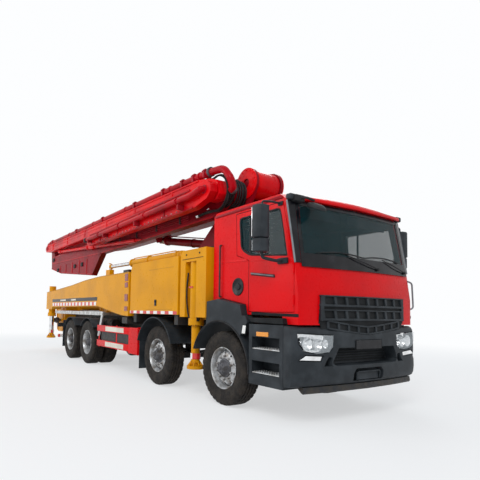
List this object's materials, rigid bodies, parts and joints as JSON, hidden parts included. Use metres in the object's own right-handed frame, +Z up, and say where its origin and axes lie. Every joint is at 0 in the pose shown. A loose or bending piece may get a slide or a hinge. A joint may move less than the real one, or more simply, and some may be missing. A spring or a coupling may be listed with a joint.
{
  "type": "concrete pump truck",
  "caption": "Truck-mounted concrete pump: forward cab, twin steered front axles, twin-wheel rear axles, folded placing boom, slide-out and swing-out outriggers, rear hopper.",
  "frame": {"origin": "on the ground, under the middle of the bounding box", "axes": "+Z up, -Y is the way the cab faces, -X is the truck's right side"},
  "size_m": [3.1, 13.31, 3.82],
  "materials": {
    "red_paint": "gloss red enamel",
    "boom_red": "deep red enamel",
    "yellow_paint": "amber yellow enamel",
    "dark_plastic": "grained dark grey plastic",
    "frame_black": "satin black paint",
    "tyre_rubber": "tyre rubber on steel disc wheels",
    "chrome_rod": "ground chrome",
    "iron": "oiled castings",
    "glass": "tinted laminated glass",
    "seat_fabric": "dark woven seat cloth and grained trim"
  },
  "bodies": {
    "truck": {"axle_1": "iron", "axle_2": "iron", "axle_3": "iron", "axle_4": "iron", "bumper": "dark_plastic", "cab_interior": "seat_fabric", "cab_shell": "red_paint", "chassis_frame": "frame_black", "deck": "frame_black", "engine_block": "iron", "front_fender_left": "dark_plastic", "front_fender_right": "dark_plastic", "hopper": "yellow_paint", "outrigger_box": "yellow_paint", "pump_cylinders": "yellow_paint", "side_box_left": "yellow_paint", "side_box_right": "yellow_paint", "side_guard_left": "red_paint", "side_guard_right": "red_paint", "windscreen": "glass"},
    "knuckle_1_left": {"knuckle_1_left": "iron"},
    "knuckle_1_right": {"knuckle_1_right": "iron"},
    "knuckle_2_left": {"knuckle_2_left": "iron"},
    "knuckle_2_right": {"knuckle_2_right": "iron"},
    "twin_wheel_3_left": {"twin_wheel_3_left": "tyre_rubber"},
    "twin_wheel_3_right": {"twin_wheel_3_right": "tyre_rubber"},
    "twin_wheel_4_left": {"twin_wheel_4_left": "tyre_rubber"},
    "twin_wheel_4_right": {"twin_wheel_4_right": "tyre_rubber"},
    "wheel_1_left": {"wheel_1_left": "tyre_rubber"},
    "wheel_1_right": {"wheel_1_right": "tyre_rubber"},
    "wheel_2_left": {"wheel_2_left": "tyre_rubber"},
    "wheel_2_right": {"wheel_2_right": "tyre_rubber"},
    "door_right": {"door_right": "red_paint", "mirror_right": "dark_plastic"},
    "front_outrigger_right": {"front_outrigger_right": "yellow_paint"},
    "rear_outrigger_right": {"rear_outrigger_right": "yellow_paint"},
    "front_jack_leg_right": {"front_jack_leg_right": "yellow_paint"},
    "rear_jack_leg_right": {"rear_jack_leg_right": "yellow_paint"},
    "swing_barrel_right": {"swing_barrel_right": "yellow_paint"},
    "swing_rod_right": {"swing_rod_right": "chrome_rod"},
    "door_left": {"door_left": "red_paint", "mirror_left": "dark_plastic"},
    "front_outrigger_left": {"front_outrigger_left": "yellow_paint"},
    "rear_outrigger_left": {"rear_outrigger_left": "yellow_paint"},
    "front_jack_leg_left": {"front_jack_leg_left": "yellow_paint"},
    "rear_jack_leg_left": {"rear_jack_leg_left": "yellow_paint"},
    "swing_barrel_left": {"swing_barrel_left": "yellow_paint"},
    "swing_rod_left": {"swing_rod_left": "chrome_rod"},
    "turret": {"turret": "boom_red"},
    "arm_1": {"arm_1": "boom_red"},
    "arm_2": {"arm_2": "boom_red"},
    "arm_3": {"arm_3": "boom_red"},
    "arm_4": {"arm_4": "boom_red"},
    "arm_5": {"arm_5": "boom_red"},
    "lift_barrel": {"lift_barrel": "boom_red"},
    "lift_rod": {"lift_rod": "chrome_rod"},
    "hopper_grate": {"hopper_grate": "frame_black"}
  },
  "joints": [
    {"name": "steer_1_right", "type": "hinge", "parent": "truck", "child": "knuckle_1_right", "pos_m": [-0.84, -5.065, 0.5284], "axis": [0, 0, 1], "range_deg": [-35, 35]},
    {"name": "spin_1_right", "type": "hinge", "parent": "knuckle_1_right", "child": "wheel_1_right", "pos_m": [-1.02, -5.065, 0.5284], "axis": [1, 0, 0], "continuous": true},
    {"name": "steer_1_left", "type": "hinge", "parent": "truck", "child": "knuckle_1_left", "pos_m": [0.84, -5.065, 0.5284], "axis": [0, 0, 1], "range_deg": [-35, 35]},
    {"name": "spin_1_left", "type": "hinge", "parent": "knuckle_1_left", "child": "wheel_1_left", "pos_m": [1.02, -5.065, 0.5284], "axis": [1, 0, 0], "continuous": true},
    {"name": "steer_2_right", "type": "hinge", "parent": "truck", "child": "knuckle_2_right", "pos_m": [-0.84, -3.072, 0.5284], "axis": [0, 0, 1], "range_deg": [-21.7, 21.7]},
    {"name": "spin_2_right", "type": "hinge", "parent": "knuckle_2_right", "child": "wheel_2_right", "pos_m": [-1.02, -3.072, 0.5284], "axis": [1, 0, 0], "continuous": true},
    {"name": "steer_2_left", "type": "hinge", "parent": "truck", "child": "knuckle_2_left", "pos_m": [0.84, -3.072, 0.5284], "axis": [0, 0, 1], "range_deg": [-21.7, 21.7]},
    {"name": "spin_2_left", "type": "hinge", "parent": "knuckle_2_left", "child": "wheel_2_left", "pos_m": [1.02, -3.072, 0.5284], "axis": [1, 0, 0], "continuous": true},
    {"name": "spin_3_right", "type": "hinge", "parent": "truck", "child": "twin_wheel_3_right", "pos_m": [-0.9, 0.543, 0.5284], "axis": [1, 0, 0], "continuous": true},
    {"name": "spin_3_left", "type": "hinge", "parent": "truck", "child": "twin_wheel_3_left", "pos_m": [0.9, 0.543, 0.5284], "axis": [1, 0, 0], "continuous": true},
    {"name": "spin_4_right", "type": "hinge", "parent": "truck", "child": "twin_wheel_4_right", "pos_m": [-0.9, 1.893, 0.5284], "axis": [1, 0, 0], "continuous": true},
    {"name": "spin_4_left", "type": "hinge", "parent": "truck", "child": "twin_wheel_4_left", "pos_m": [0.9, 1.893, 0.5284], "axis": [1, 0, 0], "continuous": true},
    {"name": "door_right_hinge", "type": "hinge", "parent": "truck", "child": "door_right", "pos_m": [-1.158, -6.4484, 1.34], "axis": [0, 0, 1], "range_deg": [0, 70]},
    {"name": "front_outrigger_right_slide", "type": "slide", "parent": "truck", "child": "front_outrigger_right", "axis": [-1, 0, 0], "range_m": [0, 1.5]},
    {"name": "front_jack_right", "type": "slide", "parent": "front_outrigger_right", "child": "front_jack_leg_right", "axis": [0, 0, -1], "range_m": [0, 0.4]},
    {"name": "rear_outrigger_right_swing", "type": "hinge", "parent": "truck", "child": "rear_outrigger_right", "pos_m": [-1.11, -1.765, 1.22], "axis": [0, 0, 1], "range_deg": [0, 75]},
    {"name": "rear_jack_right", "type": "slide", "parent": "rear_outrigger_right", "child": "rear_jack_leg_right", "axis": [0, 0, -1], "range_m": [0, 0.4]},
    {"name": "swing_barrel_right_pivot", "type": "hinge", "parent": "truck", "child": "swing_barrel_right", "pos_m": [-0.85, -3.415, 2.35], "axis": [0, 0, 1], "range_deg": [0, 34]},
    {"name": "swing_rod_right_slide", "type": "slide", "parent": "swing_barrel_right", "child": "swing_rod_right", "axis": [-0.0557, 0.9985, 0], "range_m": [-0.43, 0]},
    {"name": "door_left_hinge", "type": "hinge", "parent": "truck", "child": "door_left", "pos_m": [1.158, -6.4484, 1.34], "axis": [0, 0, -1], "range_deg": [0, 70]},
    {"name": "front_outrigger_left_slide", "type": "slide", "parent": "truck", "child": "front_outrigger_left", "axis": [1, 0, 0], "range_m": [0, 1.5]},
    {"name": "front_jack_left", "type": "slide", "parent": "front_outrigger_left", "child": "front_jack_leg_left", "axis": [0, 0, -1], "range_m": [0, 0.4]},
    {"name": "rear_outrigger_left_swing", "type": "hinge", "parent": "truck", "child": "rear_outrigger_left", "pos_m": [1.11, -1.765, 1.22], "axis": [0, 0, -1], "range_deg": [0, 75]},
    {"name": "rear_jack_left", "type": "slide", "parent": "rear_outrigger_left", "child": "rear_jack_leg_left", "axis": [0, 0, -1], "range_m": [0, 0.4]},
    {"name": "swing_barrel_left_pivot", "type": "hinge", "parent": "truck", "child": "swing_barrel_left", "pos_m": [0.85, -3.415, 2.35], "axis": [0, 0, -1], "range_deg": [0, 34]},
    {"name": "swing_rod_left_slide", "type": "slide", "parent": "swing_barrel_left", "child": "swing_rod_left", "axis": [0.0557, 0.9985, 0], "range_m": [-0.43, 0]},
    {"name": "slew", "type": "hinge", "parent": "truck", "child": "turret", "pos_m": [0, -3.165, 2.12], "axis": [0, 0, 1], "range_deg": [-180, 180]},
    {"name": "arm_1_lift", "type": "hinge", "parent": "turret", "child": "arm_1", "pos_m": [0, -4.385, 3.55], "axis": [1, 0, 0], "range_deg": [0, 85]},
    {"name": "arm_2_unfold", "type": "hinge", "parent": "arm_1", "child": "arm_2", "pos_m": [0, 6.235, 3.52], "axis": [-1, 0, 0], "range_deg": [0, 180]},
    {"name": "arm_3_unfold", "type": "hinge", "parent": "arm_2", "child": "arm_3", "pos_m": [0, -4.165, 3.36], "axis": [1, 0, 0], "range_deg": [0, 180]},
    {"name": "arm_4_unfold", "type": "hinge", "parent": "arm_3", "child": "arm_4", "pos_m": [0, 6.435, 3.58], "axis": [-1, 0, 0], "range_deg": [0, 200]},
    {"name": "arm_5_unfold", "type": "hinge", "parent": "arm_4", "child": "arm_5", "pos_m": [0, -4.205, 3.36], "axis": [1, 0, 0], "range_deg": [0, 180]},
    {"name": "lift_barrel_pivot", "type": "hinge", "parent": "turret", "child": "lift_barrel", "pos_m": [0.12, -3.465, 2.6], "axis": [1, 0, 0], "range_deg": [0, 82.35]},
    {"name": "lift_rod_slide", "type": "slide", "parent": "lift_barrel", "child": "lift_rod", "axis": [0, 0.9866, 0.1632], "range_m": [0, 1.787]},
    {"name": "grate_hinge", "type": "hinge", "parent": "truck", "child": "hopper_grate", "pos_m": [0, 3.9113, 1.42], "axis": [1, 0, 0], "range_deg": [0, 90]}
  ],
  "couplings": [
    {"joint": "steer_1_left", "follows": "steer_1_right", "ratio": 1},
    {"joint": "steer_2_right", "follows": "steer_1_right", "ratio": 0.62},
    {"joint": "steer_2_left", "follows": "steer_1_right", "ratio": 0.62},
    {"joint": "lift_barrel_pivot", "follows": "arm_1_lift", "ratio": 0.9629},
    {"joint": "lift_rod_slide", "follows": "arm_1_lift", "m_per_rad": 1.1978},
    {"joint": "swing_barrel_right_pivot", "follows": "rear_outrigger_right_swing", "ratio": 0.452},
    {"joint": "swing_rod_right_slide", "follows": "rear_outrigger_right_swing", "m_per_rad": -0.3224},
    {"joint": "swing_barrel_left_pivot", "follows": "rear_outrigger_left_swing", "ratio": 0.452},
    {"joint": "swing_rod_left_slide", "follows": "rear_outrigger_left_swing", "m_per_rad": -0.3224}
  ]
}
